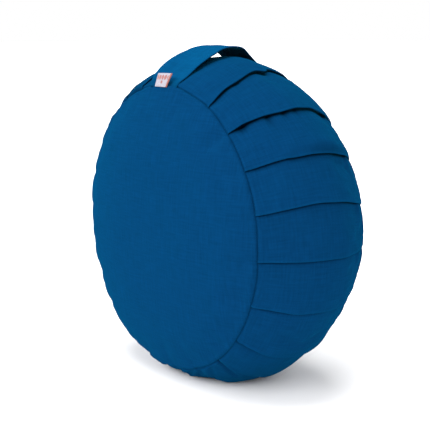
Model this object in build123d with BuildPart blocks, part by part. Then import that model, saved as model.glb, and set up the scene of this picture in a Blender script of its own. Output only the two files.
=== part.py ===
"""Pleated round floor cushion on its edge: zip-off cover, carry strap, label and hull-filled bag.

Frame: +Z up, the cushion's axis along Y, the front face towards -Y, the origin on the floor under
the middle of the cushion. An angle round the cushion is measured from the top (+Z) towards +X.
Lengths are in millimetres.
"""

import os
from math import asin, cos, hypot, radians, sin, sqrt, tan

from build123d import *

# ---- driving dimensions: the cushion -------------------------------------------------------------
RIM_R = 175.0  # largest radius, at the middle of the side band
SEAM_R = 151.5  # radius of the two seams that join the faces to the band
HALF_BAND = 70.0  # from the middle plane to a seam
CROWN = 22.0  # how far each face stands out beyond its seam
AXIS_Z = 165.0  # height of the cushion's axis: the weight flattens the bottom of the rim by 10 mm
CLOTH = 1.2  # cover cloth
BAG_INSET = 4.0  # inner bag, in from the outside of the cover
BAG_CLOTH = 0.8
FILL_INSET = 5.0  # hull filling, in from the outside of the cover
BAG_ROUND = 70.0  # bend of the inner bag's edges

# ---- driving dimensions: carry strap and label ---------------------------------------------------
STRAP_W = 47.0
STRAP_T = 2.4
STRAP_TOP = 190.0  # outside of the strap over the middle of the band, out from the axis
STRAP_SKEW = 4.5  # degrees, how far the strap runs out of square across the band
STRAP_X = -5.0  # where the strap's middle crosses the middle plane
STRAP_RISE = 37.0  # slope of the strap's ends, degrees
STRAP_BEND = 0.95  # how far the bend over the top takes up the strap's length, 1 for all of it
STRAP_FOOT = 0.8  # from the front seam to the strap's front end, behind the label
SEWN_GAP = 0.05  # between a sewn-on piece and the cover
GRIP_HALF = 25.0  # half the length of the strap's raised middle, which leans
GRIP_GAP = 0.3  # clearance between that middle and the strap's ends
LABEL_W = 23.0
LABEL_H = 12.0  # above the seam
LABEL_ROOT = 3.0  # below the seam, down to the face
LABEL_T = 1.2  # folded double
LABEL_X = -3.5
LABEL_LEAN = 12.0  # degrees back from upright
LABEL_OUT = 0.2  # from the seam to the back of the label
LABEL_FOLD = 0.54  # bend of the fold along its top

# ---- driving dimensions: zip in the back seam ----------------------------------------------------
# Across the seam, w runs from the face side (-) to the band side (+) and n runs outwards.
ZIP_FROM, ZIP_TO = 204.0, 336.5  # the opening, degrees
ZIP_EDGE = 4.2  # from the seam line to each edge of the opening
ZIP_CUT_LOW, ZIP_CUT_TOP = -4.5, 6.0  # n of the space that the opening cuts through the cloth
TAPE_IN = 1.3  # from the seam line to the tape's inner edge
TAPE_W = 14.0
TAPE_T = 0.6
TAPE_DEPTH = 2.75
TAPE_PAST = 3.0  # degrees of tape past each end of the opening
COIL_IN, COIL_OUT = 0.2, 2.4  # w of each half of the coil
COIL_LOW, COIL_TOP = -3.0, -1.3  # n of the coil
COIL_FROM, COIL_TO = 206.4, 333.8
STOP_LEN = 0.7  # degrees
TOP_STOP_PLAY, BOTTOM_STOP_PLAY = 0.2, 0.05  # degrees
SLIDER_AT = 333.5
SLIDER_HALF = 1.75  # degrees
SLIDER_W = 3.6
SLIDER_WALL = 0.9
SLIDER_TOP, SLIDER_ROOF, SLIDER_SKIRT = 0.1, -1.0, -3.3  # n of the upper plate and of its side walls
SLIDER_FLOOR, SLIDER_LOW = -4.9, -6.0  # n of the lower plate
POST_LEN = 0.7  # degrees of the slider's nose that hold the post between its plates
POST_W = 0.5
BAIL_HALF = 1.2  # degrees
BAIL_W = 0.7
BAIL_TOP = 3.4
PIN_N = 1.7  # n of the pull's cross bar
PIN_R = 0.8
PIN_PLAY = 0.25
PULL_LEN = 24.0
PULL_W = 5.6
PULL_T = 1.3
PULL_EYE_W = 2.8
PULL_EYE_LEN = 5.0

FAR = 600.0

# ---- section of the cushion ----------------------------------------------------------------------
SAG = RIM_R - SEAM_R
BAND_ARC_R = (HALF_BAND**2 + SAG**2) / (2 * SAG)
BAND_ARC_C = RIM_R - BAND_ARC_R  # its centre, out from the axis
FACE_ARC_R = (SEAM_R**2 + CROWN**2) / (2 * CROWN)
FACE_ARC_C = HALF_BAND + CROWN - FACE_ARC_R  # its centre, along the axis

AXIS = Axis((0, 0, AXIS_Z), (0, 1, 0))
SECTION = Plane((0, 0, AXIS_Z), x_dir=(1, 0, 0), z_dir=(0, 0, 1))  # X is radius, Y is along the axis


def corner(inset):
    """Radius and half width where band and face meet, in from the outside by inset."""
    band = BAND_ARC_R - inset
    face = FACE_ARC_R - inset
    apart = hypot(BAND_ARC_C, FACE_ARC_C)
    along = (band**2 - face**2 + apart**2) / (2 * apart)
    aside = sqrt(band**2 - along**2)
    to_face = Vector(-BAND_ARC_C, FACE_ARC_C) / apart
    to_rim = Vector(-to_face.Y, to_face.X)
    meet = Vector(BAND_ARC_C, 0) + to_face * along + to_rim * aside
    return meet.X, meet.Y


def outline(inset, bend=0.0):
    """Half the section of the cushion, in from the outside by inset, with its edges bent to a radius."""
    r, y = corner(inset)
    pole = HALF_BAND + CROWN - inset
    mid_y = FACE_ARC_C + sqrt((FACE_ARC_R - inset) ** 2 - (r / 2) ** 2)
    with BuildSketch(SECTION) as half:
        with BuildLine():
            Line((0, -pole), (0, pole))
            ThreePointArc((0, pole), (r / 2, mid_y), (r, y))
            ThreePointArc((r, y), (RIM_R - inset, 0), (r, -y))
            ThreePointArc((r, -y), (r / 2, -mid_y), (0, -pole))
        make_face()
        if bend:
            fillet(half.vertices().filter_by(lambda v: v.X > r / 2), bend)
    return half.sketch


def drum(inset, bend=0.0):
    """The whole cushion as one solid, in from the outside by inset, flat where it stands."""
    with BuildPart() as body:
        add(outline(inset, bend))
        revolve(axis=AXIS)
        split(bisect_by=Plane.XY.offset(inset), keep=Keep.TOP)
    return body.part


def slab(low, high):
    """All space between two planes across the axis."""
    with BuildPart(Plane((0, low, 0), x_dir=(1, 0, 0), z_dir=(0, 1, 0))) as space:
        Box(2 * FAR, 2 * FAR, high - low, align=(Align.CENTER, Align.CENTER, Align.MIN))
    return space.part


def out_at(angle):
    """Unit vector out from the axis at an angle round the cushion."""
    return Vector(sin(radians(angle)), 0, cos(radians(angle)))


# ---- a local frame across the back seam ----------------------------------------------------------
FACE_TILT = asin(SEAM_R / FACE_ARC_R)
BAND_TILT = asin(HALF_BAND / BAND_ARC_R)
N_TILT = (radians(90) - FACE_TILT + BAND_TILT) / 2  # of n, from the radius towards +Y
SLOPE = tan((radians(90) - FACE_TILT - BAND_TILT) / 2)  # how the cover falls away on both sides of the seam


def seam_point(w, n):
    """Radius and distance along the axis of a point beside the back seam."""
    return SEAM_R + w * sin(N_TILT) + n * cos(N_TILT), HALF_BAND - w * cos(N_TILT) + n * sin(N_TILT)


def seam_ring(points, start, end):
    """A curved bar along the back seam whose section has the given (w, n) points."""
    across = out_at(start)
    with BuildPart() as bar:
        with BuildSketch(Plane((0, 0, AXIS_Z), x_dir=across, z_dir=across.cross(Vector(0, 1, 0)))):
            with BuildLine():
                Polyline([seam_point(w, n) for w, n in points], close=True)
            make_face()
        revolve(axis=AXIS, revolution_arc=end - start)
    return bar.part


def rectangle(w_low, w_high, n_low, n_high):
    """The corners of a rectangular section."""
    return [(w_low, n_low), (w_high, n_low), (w_high, n_high), (w_low, n_high)]


def seam_plane(angle, n):
    """A plane that lies on the back seam: local X runs round the cushion, local Y is w and Z is n."""
    along = out_at(angle + 90)
    outwards = out_at(angle) * cos(N_TILT) + Vector(0, 1, 0) * sin(N_TILT)
    r, y = seam_point(0, n)
    return Plane(out_at(angle) * r + Vector(0, y, AXIS_Z), x_dir=along, z_dir=outwards)


# ---- cover ---------------------------------------------------------------------------------------
def cover_panel(low, high):
    """The cover's cloth between two planes across the axis."""
    with BuildPart() as cloth:
        add(drum(0))
        add(drum(CLOTH), mode=Mode.SUBTRACT)
        add(slab(low, high), mode=Mode.INTERSECT)
    return cloth.part


def zip_opening():
    """The space where the cover opens at the zip."""
    return seam_ring(rectangle(-ZIP_EDGE, ZIP_EDGE, ZIP_CUT_LOW, ZIP_CUT_TOP), ZIP_FROM, ZIP_TO)


with BuildPart() as front_panel:
    add(cover_panel(-FAR, -HALF_BAND))

with BuildPart() as back_panel:
    add(cover_panel(HALF_BAND, FAR))
    add(zip_opening(), mode=Mode.SUBTRACT)

with BuildPart() as side_band:
    add(cover_panel(-HALF_BAND, HALF_BAND))
    add(zip_opening(), mode=Mode.SUBTRACT)


# ---- carry strap ---------------------------------------------------------------------------------
STRAP_DIR = Vector(-sin(radians(STRAP_SKEW)), cos(radians(STRAP_SKEW)), 0)
STRAP_SIDE = Plane((STRAP_X, 0, AXIS_Z), x_dir=STRAP_DIR, z_dir=STRAP_DIR.cross(Vector(0, 0, 1)))


def strap(low, high):
    """The strap between two planes across the axis. It runs from seam to seam, over the band."""
    top = STRAP_TOP - STRAP_T / 2
    root = SEAM_R + STRAP_T / 2
    shoulder = HALF_BAND - (top - root) / tan(radians(STRAP_RISE))
    crest = STRAP_BEND * shoulder / tan(radians(STRAP_RISE / 2))
    route_points = [(-HALF_BAND, root), (-shoulder, top), (shoulder, top), (HALF_BAND, root)]
    with BuildPart() as web:
        with BuildSketch(STRAP_SIDE):
            with BuildLine() as route:
                FilletPolyline(route_points, radius=[crest, crest])
            trace(route.line, STRAP_T)
        extrude(amount=STRAP_W / 2, both=True)
        add(slab(low, high), mode=Mode.INTERSECT)
        add(drum(-SEWN_GAP), mode=Mode.SUBTRACT)
    return web.part


with BuildPart() as handle_grip:
    add(strap(-GRIP_HALF, GRIP_HALF))

with BuildPart() as handle_front_end:
    add(strap(STRAP_FOOT - HALF_BAND, -GRIP_HALF - GRIP_GAP))

with BuildPart() as handle_rear_end:
    add(strap(GRIP_HALF + GRIP_GAP, FAR))

# ---- label ---------------------------------------------------------------------------------------
LABEL_FOOT = Plane((LABEL_X, -HALF_BAND - LABEL_OUT, AXIS_Z + SEAM_R), x_dir=(1, 0, 0), z_dir=(0, -1, 0))

with BuildPart() as woven_label:
    with BuildSketch(LABEL_FOOT.rotated((LABEL_LEAN, 0, 0))):
        with Locations((0, -LABEL_ROOT)):
            Rectangle(LABEL_W, LABEL_ROOT + LABEL_H, align=(Align.CENTER, Align.MIN))
    extrude(amount=LABEL_T)
    fillet(woven_label.edges().filter_by(Axis.X).sort_by(Axis.Z)[-2:], LABEL_FOLD)
    add(drum(-SEWN_GAP), mode=Mode.SUBTRACT)


# ---- zip -----------------------------------------------------------------------------------------
def tape(side):
    """One half of the zip tape; side is -1 for the face and +1 for the band."""
    inner = TAPE_IN
    outer = TAPE_IN + TAPE_W
    top_in = -TAPE_DEPTH - inner * SLOPE
    top_out = -TAPE_DEPTH - outer * SLOPE
    points = [(inner, top_in), (outer, top_out), (outer, top_out - TAPE_T), (inner, top_in - TAPE_T)]
    return seam_ring([(side * w, n) for w, n in points], ZIP_FROM - TAPE_PAST, ZIP_TO + TAPE_PAST)


def beside(side, w_in, w_out, n_low, n_high, start, end):
    """A curved bar with a rectangular section on one side of the seam line."""
    w = sorted((side * w_in, side * w_out))
    return seam_ring(rectangle(w[0], w[1], n_low, n_high), start, end)


with BuildPart() as zip_tape_face:
    add(tape(-1))

with BuildPart() as zip_tape_band:
    add(tape(1))

with BuildPart() as zip_coil_face:
    add(beside(-1, COIL_IN, COIL_OUT, COIL_LOW, COIL_TOP, COIL_FROM, COIL_TO))

with BuildPart() as zip_coil_band:
    add(beside(1, COIL_IN, COIL_OUT, COIL_LOW, COIL_TOP, COIL_FROM, COIL_TO))

PULL_FLAT = seam_plane(SLIDER_AT, PIN_N)
PIN_END = Plane(PULL_FLAT.origin, x_dir=PULL_FLAT.x_dir, z_dir=PULL_FLAT.y_dir)
TOP_STOP_FROM = SLIDER_AT + SLIDER_HALF + TOP_STOP_PLAY
BOTTOM_STOP_TO = COIL_FROM - BOTTOM_STOP_PLAY
BOTTOM_STOP_FROM = BOTTOM_STOP_TO - STOP_LEN

with BuildPart() as zip_top_stops:
    for side in (-1, 1):
        add(beside(side, COIL_IN, COIL_OUT, COIL_LOW, COIL_TOP, TOP_STOP_FROM, TOP_STOP_FROM + STOP_LEN))

with BuildPart() as zip_bottom_stop:
    across_both = rectangle(-COIL_OUT, COIL_OUT, COIL_LOW, COIL_TOP)
    add(seam_ring(across_both, BOTTOM_STOP_FROM, BOTTOM_STOP_TO))

with BuildPart() as zip_slider:
    tail = SLIDER_AT - SLIDER_HALF
    nose = SLIDER_AT + SLIDER_HALF
    add(seam_ring(rectangle(-SLIDER_W, SLIDER_W, SLIDER_ROOF, SLIDER_TOP), tail, nose))
    add(seam_ring(rectangle(-SLIDER_W, SLIDER_W, SLIDER_LOW, SLIDER_FLOOR), tail, nose))
    for side in (-1, 1):
        add(beside(side, SLIDER_W - SLIDER_WALL, SLIDER_W, SLIDER_SKIRT, SLIDER_TOP, tail, nose))
    add(seam_ring(rectangle(-POST_W, POST_W, SLIDER_LOW, SLIDER_TOP), nose - POST_LEN, nose))
    bail = rectangle(-BAIL_W, BAIL_W, SLIDER_ROOF, BAIL_TOP)
    add(seam_ring(bail, SLIDER_AT - BAIL_HALF, SLIDER_AT + BAIL_HALF))
    with BuildSketch(PIN_END):
        Circle(PIN_R + PIN_PLAY)
    extrude(amount=2 * BAIL_W, both=True, mode=Mode.SUBTRACT)

with BuildPart() as zip_pull:
    with BuildSketch(PULL_FLAT):
        with Locations((PIN_R, 0)):
            Rectangle(PULL_LEN, PULL_W, align=(Align.MAX, Align.CENTER))
        Rectangle(2 * PULL_EYE_LEN, PULL_EYE_W, mode=Mode.SUBTRACT)
    extrude(amount=PULL_T / 2, both=True)
    with BuildSketch(PIN_END):
        Circle(PIN_R)
    extrude(amount=PULL_W / 2, both=True)


# ---- inner bag and filling -----------------------------------------------------------------------
def bag_panel(low, high):
    """The inner bag's cloth between two planes across the axis."""
    with BuildPart() as cloth:
        add(drum(BAG_INSET, BAG_ROUND))
        add(drum(BAG_INSET + BAG_CLOTH, BAG_ROUND), mode=Mode.SUBTRACT)
        add(slab(low, high), mode=Mode.INTERSECT)
    return cloth.part


BAG_SEAM = HALF_BAND - BAG_INSET

with BuildPart() as inner_bag_front:
    add(bag_panel(-FAR, -BAG_SEAM))

with BuildPart() as inner_bag_back:
    add(bag_panel(BAG_SEAM, FAR))

with BuildPart() as inner_bag_band:
    add(bag_panel(-BAG_SEAM, BAG_SEAM))

with BuildPart() as hull_filling:
    add(drum(FILL_INSET, BAG_ROUND))

# ---- export --------------------------------------------------------------------------------------
os.makedirs("parts", exist_ok=True)

front_panel.part.label = "front_panel"
back_panel.part.label = "back_panel"
side_band.part.label = "side_band"
handle_front_end.part.label = "handle_front_end"
handle_grip.part.label = "handle_grip"
handle_rear_end.part.label = "handle_rear_end"
woven_label.part.label = "woven_label"
zip_tape_face.part.label = "zip_tape_face"
zip_tape_band.part.label = "zip_tape_band"
zip_coil_face.part.label = "zip_coil_face"
zip_coil_band.part.label = "zip_coil_band"
zip_top_stops.part.label = "zip_top_stops"
zip_bottom_stop.part.label = "zip_bottom_stop"
zip_slider.part.label = "zip_slider"
zip_pull.part.label = "zip_pull"
inner_bag_front.part.label = "inner_bag_front"
inner_bag_back.part.label = "inner_bag_back"
inner_bag_band.part.label = "inner_bag_band"
hull_filling.part.label = "hull_filling"

export_step(front_panel.part, "parts/front_panel.step")
export_step(back_panel.part, "parts/back_panel.step")
export_step(side_band.part, "parts/side_band.step")
export_step(handle_front_end.part, "parts/handle_front_end.step")
export_step(handle_grip.part, "parts/handle_grip.step")
export_step(handle_rear_end.part, "parts/handle_rear_end.step")
export_step(woven_label.part, "parts/woven_label.step")
export_step(zip_tape_face.part, "parts/zip_tape_face.step")
export_step(zip_tape_band.part, "parts/zip_tape_band.step")
export_step(zip_coil_face.part, "parts/zip_coil_face.step")
export_step(zip_coil_band.part, "parts/zip_coil_band.step")
export_step(zip_top_stops.part, "parts/zip_top_stops.step")
export_step(zip_bottom_stop.part, "parts/zip_bottom_stop.step")
export_step(zip_slider.part, "parts/zip_slider.step")
export_step(zip_pull.part, "parts/zip_pull.step")
export_step(inner_bag_front.part, "parts/inner_bag_front.step")
export_step(inner_bag_back.part, "parts/inner_bag_back.step")
export_step(inner_bag_band.part, "parts/inner_bag_band.step")
export_step(hull_filling.part, "parts/hull_filling.step")
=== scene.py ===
"""Looks of the pleated floor cushion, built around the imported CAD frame.

Metres, +Z up, the cushion's axis along Y, its front face towards -Y. An angle round the cushion is measured
from the top (+Z) towards +X. The cushion stands on its edge on the floor at z = 0.
"""

import math

import bmesh
import bpy
import numpy as np
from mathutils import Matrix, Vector, kdtree, noise


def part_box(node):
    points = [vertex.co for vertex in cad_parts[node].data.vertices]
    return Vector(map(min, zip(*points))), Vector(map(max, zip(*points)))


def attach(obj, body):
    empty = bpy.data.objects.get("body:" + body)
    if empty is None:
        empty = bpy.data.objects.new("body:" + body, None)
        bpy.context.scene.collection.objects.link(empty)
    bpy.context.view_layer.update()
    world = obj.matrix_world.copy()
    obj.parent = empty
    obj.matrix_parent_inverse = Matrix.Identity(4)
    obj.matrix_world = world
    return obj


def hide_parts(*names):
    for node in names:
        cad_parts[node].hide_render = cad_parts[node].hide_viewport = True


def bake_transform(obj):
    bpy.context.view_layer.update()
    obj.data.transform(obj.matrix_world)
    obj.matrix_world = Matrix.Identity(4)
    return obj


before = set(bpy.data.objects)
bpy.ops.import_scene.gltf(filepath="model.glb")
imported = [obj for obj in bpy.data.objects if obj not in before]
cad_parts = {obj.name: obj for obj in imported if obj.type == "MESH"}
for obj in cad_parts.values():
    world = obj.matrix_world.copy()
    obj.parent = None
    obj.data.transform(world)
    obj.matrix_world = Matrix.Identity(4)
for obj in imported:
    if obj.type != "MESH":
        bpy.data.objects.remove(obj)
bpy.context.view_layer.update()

MM = 0.001

# ---- places and sizes, from the frame
band_low, band_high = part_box("side_band")
face_low, face_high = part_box("front_panel")
RIM_R = (band_high[0] - band_low[0]) / 2
AXIS_Z = band_high[2] - RIM_R
SEAM_R = (face_high[0] - face_low[0]) / 2
HALF = (band_high[1] - band_low[1]) / 2
CROWN = -HALF - face_low[1]
SAG = RIM_R - SEAM_R

strap_low, strap_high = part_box("handle_grip")
STRAP_X = (strap_low[0] + strap_high[0]) / 2

# ---- sizes of the sewing
CLOTH = 1.0 * MM
FOLD_T = 1.5 * MM  # two layers of cloth at a pleat's fold
PLEAT_UNDER = 9.5 * MM  # how deep a pleat reaches under itself at the seams
GROOVE = 2.9 * MM  # depth of a seam
SEAM_WIDTH = 0.9 * MM
PANEL_START = -1.7 * MM  # height of each panel a little way out from under the fold before it
MOUTH = 0.9 * MM  # how much lower it is right at the fold
MOUTH_REACH = 1.7 * MM
SEAM_REACH = 16.0 * MM  # how far from a seam its waviness can be seen
SKIN_DEPTH = 6.2 * MM  # lining side of the pleated band, under its outside
LINING_LOWEST = 2.2 * MM  # its least height over the floor
LINING_ROWS = 16
BAND_POWER, FACE_POWER = 1.89, 2.4  # how the band and the faces curve: 2 would be a parabola
MOUTH_STEPS = np.array([0, 0.5, 1.0, 1.6, 2.4, 3.6]) * MM  # columns of points beside a fold's mouth
FOLD_STEPS = np.array([2.2, 1.1, 0.5, 0]) * MM  # and before the fold itself
FACE_DISC = 0.90  # the even part of a face, as a share of its radius
FACE_RINGS = np.array([13.2, 11.4, 9.6, 8.0, 6.5, 5.2, 4.1, 3.1, 2.3, 1.7, 1.2, 0.8, 0.4, 0.0]) * MM

# Angle of each pleat's fold in degrees: at the front seam, in the middle of the band and at the back seam.
PLEATS = [
    (29.3, 20.4, 17.5),
    (43.8, 42.3, 43.6),
    (59.8, 59.7, 59.9),
    (76.4, 75.4, 77.8),
    (93.2, 93.0, 94.6),
    (110.6, 111.2, 113.6),
    (127.6, 132.4, 134.0),
    (143.2, 149.0, 149.5),
    (158.6, 160.8, 162.0),
    (173.6, 174.5, 174.0),
    (193.1, 192.0, 193.5),
    (210.7, 210.0, 211.5),
    (226.6, 227.5, 226.5),
    (241.2, 241.5, 243.0),
    (255.8, 257.0, 256.0),
    (272.8, 272.0, 273.0),
    (288.0, 287.0, 288.5),
    (303.0, 303.5, 302.0),
    (318.2, 317.5, 318.5),
    (331.7, 332.5, 331.0),
    (344.0, 345.5, 343.0),
]

# How the filled seams stray from round, front (-1) and back (1): angle and width in degrees, mm outwards.
SETTLED = {
    -1: [(275, 42, -3.2), (216, 24, 2.4), (180, 30, -1.0)],
    1: [(91, 18, 1.6), (135, 26, -2.2)],
}
# Fuller places of the band: angle, place across, their widths, and height in mm. From here on an angle is in
# degrees, and a place across the band and a width of that kind run from -1 at the front to 1 at the back.
SWELLS = [(336, -0.72, 11, 0.36, 4.2), (17, 0.62, 11, 0.30, 2.2), (4, -0.40, 11, 0.40, -2.2)]
# Kinks of a fold: fold, place across, width, mm onwards.
WIGGLES = [
    (0, -0.35, 0.26, 2.6),
    (0, 0.13, 0.09, 8.0),
    (0, 0.42, 0.12, -3.0),
    (1, -0.2, 0.26, 2.4),
    (1, 0.40, 0.16, -2.6),
]
# Wider mouths: fold, place across, width, extra opening in mm.
POCKETS = [
    (0, 0.14, 0.12, 1.6),
    (1, -0.79, 0.11, 1.7),
    (1, 0.72, 0.16, 1.2),
    (2, 0.80, 0.14, 1.2),
    (3, 0.9, 0.1, 0.8),
]
FLAT_FOLDS = {19: 0.6, 20: 0.8}  # folds that are pressed flat near the front seam, and how flat
# Dimples that run down from a fold: fold, place across, width, length and depth in mm.
DIMPLES = [
    (1, -0.80, 4.5, 9.0, 2.2),
    (1, -0.43, 3.4, 15.0, 2.4),
    (1, -0.17, 3.0, 10.0, 1.6),
    (1, 0.05, 2.8, 12.0, 1.0),
    (0, -0.45, 4.0, 12.0, 0.8),
    (2, 0.42, 3.0, 12.0, 0.45),
    (2, 0.80, 3.4, 14.0, 0.9),
    (4, -0.72, 4.5, 7.0, 0.5),
    (5, 0.40, 5.0, 22.0, 0.9),
    (6, -0.80, 4.0, 9.0, 0.6),
]
# Fuller panels: panel, place across, width, height in mm.
PUFFS = [
    (0, 0.10, 0.75, 3.6),
    (1, 0.55, 0.55, 1.6),
    (2, 0.5, 0.6, 0.8),
    (13, 0.0, 0.8, 1.2),
    (18, -0.2, 0.8, 1.4),
]
# Flattened edges: fold, middle of the stretch, its width, height of the ridge in mm.
RIDGES = [
    (2, 0.32, 0.5, 3.2),
    (4, 0.5, 0.4, 0.5),
    (7, 0.0, 0.6, 0.6),
    (12, 0.1, 0.6, 1.0),
    (16, -0.2, 0.5, 1.2),
]
RIDGE_AT = 9.0 * MM  # from the fold to the ridge of its flattened edge
# Pressed creases of the band, as lines: angle and place across at each end, width and depth in mm.
CREASES = [
    (20.3, -0.90, 20.9, -0.66, 1.5, 0.8),
    (143.5, -0.98, 151.0, -0.55, 2.6, 1.8),
    (150.5, -0.97, 158.5, -0.72, 2.2, 1.2),
    (155.5, -0.99, 166.0, -0.80, 2.4, 1.3),
    (162.5, -0.98, 174.0, -0.78, 2.6, 1.4),
    (171.0, -0.98, 180.0, -0.74, 2.4, 1.3),
    (181.0, -0.98, 188.0, -0.70, 2.6, 1.2),
    (112.0, -0.96, 115.0, -0.72, 2.4, 0.7),
    (262.0, -0.95, 259.0, -0.70, 2.2, 0.8),
]
FACE_CREASE = (134 * MM, -6 * MM)  # a faint crease of the front face: places beside and over the axis

# ---- painted shade of the cloth where little light gets in
FOLD_SHADE = 0.80  # how much of the light the mouth of a fold loses
SHADE_REACH = 1.4 * MM
FOLDS_HANG_AT = 128.0  # angle where the folds hang downwards and shade the most below them
HIDDEN_SHADE = 0.12  # what is left inside a pleat
SEAM_SHADE = 0.50  # what is left at the bottom of a seam
UNDER_STRAP_SHADE = 0.55  # how much the band loses beneath the strap
# A dim place of the band: angle and width, place across and width, and how much it loses.
BESIDE_STRAP = (338, 9, -1, 0.4, 0.30)
UNDERSIDE_PAINTED_SHADE = 0.09  # painted shade on the strap's underside, where little light gets in
FOOT_SHADE = 0.36  # how much each end of the strap loses

# ---- settings of the strap and the label
STRAP_W = 47.0 * MM
STRAP_T = 2.0 * MM
STRAP_SKEW = math.radians(4.5)
STRAP_DENT = 2.2 * MM  # how far each end of the strap presses the band in
TURNED_EDGE = 6.0 * MM  # width of the folded and stitched edge
FAR_LIFT = 4.6 * MM  # the front end's far corner is held up by the seam
LABEL_THICK = 0.9 * MM
# Middle line of the strap: place across the band and height over the axis, in mm.
STRAP_ROUTE = [
    (-70.3, 148.2),
    (-68.3, 151.9),
    (-64.0, 156.2),
    (-57.0, 161.0),
    (-42.0, 171.0),
    (-27.0, 179.6),
    (-11.0, 186.8),
    (4.0, 189.6),
    (18.0, 187.8),
    (31.0, 179.4),
    (44.0, 169.4),
    (57.0, 161.2),
    (64.0, 156.4),
    (68.4, 152.0),
    (70.6, 148.0),
]

# ---- settings of the zip
ZIP_FROM, ZIP_TO = math.radians(204.0), math.radians(336.5)
ZIP_FADE = math.radians(2.2)  # how gradually the cover's edges part at the zip's ends
ZIP_OPEN = 4.9 * MM
LINING_OPEN = 1.7  # how much further back the lining's edge stands
ZIP_PULL_REACH = 30.0 * MM  # how far from the seam the cloth gives way for that
ZIP_HELD_REACH = 17.0 * MM  # how far from the seam the zip keeps the cloth still in the simulation
ZIP_TAPE_REACH = 21.0 * MM  # how far from the back seam the zip's tape can lie under the band
TAPE_CLEAR = -1.4 * MM  # the lowest that the band may be over it, beside the seam
TAPE_RISE = 1.9 * MM  # and how much higher out at the tape's edge
COIL_FROM, COIL_TO = math.radians(206.4), math.radians(333.8)
COIL_MIDDLE, COIL_REACH = (1.27 * MM, -2.15 * MM), (0.93 * MM, 0.57 * MM)  # places w and n, as in on_seam
COIL_PITCH = 1.5 * MM
COIL_WIRE = 0.32 * MM
PARTED_AT = math.radians(210.0)  # the teeth are parted a little where the opened slider stands
TURN_STEPS, WIRE_SIDES = 12, 6
CORD_REACH = (0.62 * MM, 0.22 * MM)  # half sizes of the filler cord inside each coil
CORD_STEPS, CORD_SIDES = 240, 8

# ---- settings of the inner bag
BAG_POWER = 2.8  # how square the bag's section is: 2 is an ellipse
BAG_SLACK = 2.5 * MM  # the bag, in from its CAD solid
BAG_CLOTH = 0.8 * MM
BAG_BOTTOM = 7.0 * MM
HULL = 6.5 * MM
HULL_RELIEF = 1.6 * MM

# ---- settings of the simulation
SIM_RIM = 240
SIM_FRAMES = 22
SIM_CAP = 7.0 * MM
SIM_SETTINGS = {
    "quality": 6,
    "mass": 0.25,
    "tension_stiffness": 30,
    "compression_stiffness": 30,
    "shear_stiffness": 12,
    "bending_stiffness": 0.35,
    "tension_damping": 8,
    "compression_damping": 8,
    "air_damping": 2,
    "vertex_group_mass": "seams",
    "use_pressure": True,
    "uniform_pressure_force": 3.0,
    "shrink_min": -0.022,
}
SIM_HELD_REACH = 90 * MM  # the floor and the strap hold the cover back this near to its bottom and top
FLOOR_NEAR, FLOOR_SOFT = 12.0 * MM, 2.0 * MM  # below this height cloth is laid flat, this softly

# ---- settings of the camera and the light
CAMERA_AZIMUTH, CAMERA_ELEVATION, CAMERA_DISTANCE = math.radians(52.27), math.radians(10.97), 1.058
CAMERA_LENS, CAMERA_SENSOR = 80.5, 36.0
CAMERA_SHIFT = (-0.0059, 0.0143)
# Soft lamps far away: where each stands, its strength in watts per square metre and how wide it looks.
LAMPS = [
    ("key", (-1.2, -1.3, 1.15), 1.6, 36),
    ("overhead", (-0.2, -0.1, 1.9), 2.5, 40),
    ("front", (0.2, -2.0, 1.15), 2.25, 36),
    ("right", (1.9, -0.3, 1.05), 1.3, 36),
    ("back", (0.3, 1.6, 1.4), 0.4, 36),
]
AMBIENT = 0.4
FLOOR_REACH = 40.0

# ---- cloth and colours
THREAD = 0.55 * MM  # from one thread of the cotton to the next but one
BLUE = (0.0011, 0.0280, 0.0890)
TEAL = (0.0008, 0.0340, 0.0960)
# the strap's blue is a lighter copy of the cover's: painted light for the strap on top, which is lit more
STRAP_BLUE_PAINTED_LIGHT = (0.0012, 0.0470, 0.1310)
TAPE_BLUE = (0.0015, 0.030, 0.095)
NYLON_BLUE = (0.002, 0.026, 0.080)
METAL_BLUE = (0.003, 0.030, 0.085)
BAG_BLUE = (0.004, 0.016, 0.050)
HUSK = (0.12, 0.06, 0.03)
LABEL_WHITES = (0.255, 0.235, 0.285, 1), (0.30, 0.285, 0.335, 1)
LABEL_RED = (0.23, 0.035, 0.014, 1)
FLOOR_WHITES = (0.93, 0.93, 0.93, 1), (0.95, 0.95, 0.95, 1)


# ---- small helpers
def bump(x, width):
    """A smooth hill, 1 at zero."""
    return np.exp(-((x / width) ** 2))


def ease(x):
    """0 below 0, 1 above 1, smooth between."""
    x = np.clip(x, 0.0, 1.0)
    return x * x * (3 - 2 * x)


def wave_field(seed, count, low, high):
    """A smooth random function of two lengths, made of a few sines with wavelengths from low to high."""
    r = np.random.default_rng(seed)
    wavelength = r.uniform(low, high, count)
    heading = r.uniform(0, math.tau, count)
    phase = r.uniform(0, math.tau, count)

    def field(a, b):
        total = 0
        for w, h, p in zip(wavelength, heading, phase):
            total = total + np.sin(math.tau * (a * math.cos(h) + b * math.sin(h)) / w + p)
        return total / math.sqrt(count)

    return field


def mesh_object(name, points, faces, uv=None, closed=True):
    """An object from points and faces, and a UV for each face corner. A closed one faces outwards."""
    mesh = bpy.data.meshes.new(name)
    mesh.from_pydata(np.asarray(points).tolist(), [], [tuple(int(i) for i in f) for f in faces])
    if uv is not None:
        layer = mesh.uv_layers.new(name="cloth")
        layer.data.foreach_set("uv", np.asarray(uv, np.float32).ravel())
    if closed:
        turned_out = bmesh.new()
        turned_out.from_mesh(mesh)
        bmesh.ops.recalc_face_normals(turned_out, faces=turned_out.faces)
        turned_out.to_mesh(mesh)
        turned_out.free()
    mesh.polygons.foreach_set("use_smooth", [True] * len(mesh.polygons))
    mesh.update()
    piece = bpy.data.objects.new(name, mesh)
    bpy.context.scene.collection.objects.link(piece)
    return piece


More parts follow.
